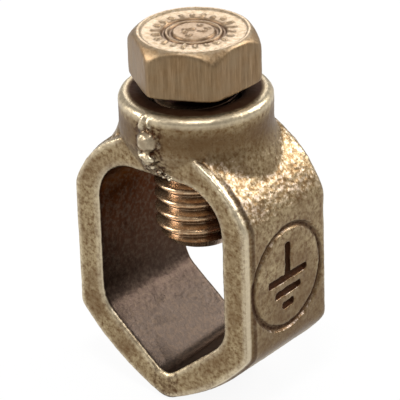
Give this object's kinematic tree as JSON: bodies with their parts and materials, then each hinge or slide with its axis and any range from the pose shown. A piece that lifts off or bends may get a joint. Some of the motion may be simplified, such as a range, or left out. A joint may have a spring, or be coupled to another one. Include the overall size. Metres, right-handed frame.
{
  "type": "earth rod clamp",
  "caption": "Cast bronze earth rod clamp: a V-seated open frame under a round boss, closed by a hex head bolt that presses the conductor against the rod.",
  "frame": {"origin": "axis of the rod lying in the V seat, where the bolt's axis meets it", "axes": "+Y along the rod, from the front face of the frame to its back; +Z along the bolt towards its head; +X across the frame, towards the flank with the round mark"},
  "size_m": [0.0238, 0.0172, 0.0413],
  "materials": {
    "cast_bronze": "as-cast bronze, dulled to khaki brown, brighter along rubbed edges",
    "bolt_bronze": "machined silicon bronze, satin, copper brown"
  },
  "bodies": {
    "clamp": {"clamp_body": "cast_bronze"},
    "bolt": {"hex_bolt": "bolt_bronze"}
  },
  "joints": [
    {"name": "bolt_advance", "type": "slide", "parent": "clamp", "child": "bolt", "axis": [0, 0, 1], "range_m": [-0.00115, 0.009]}
  ]
}
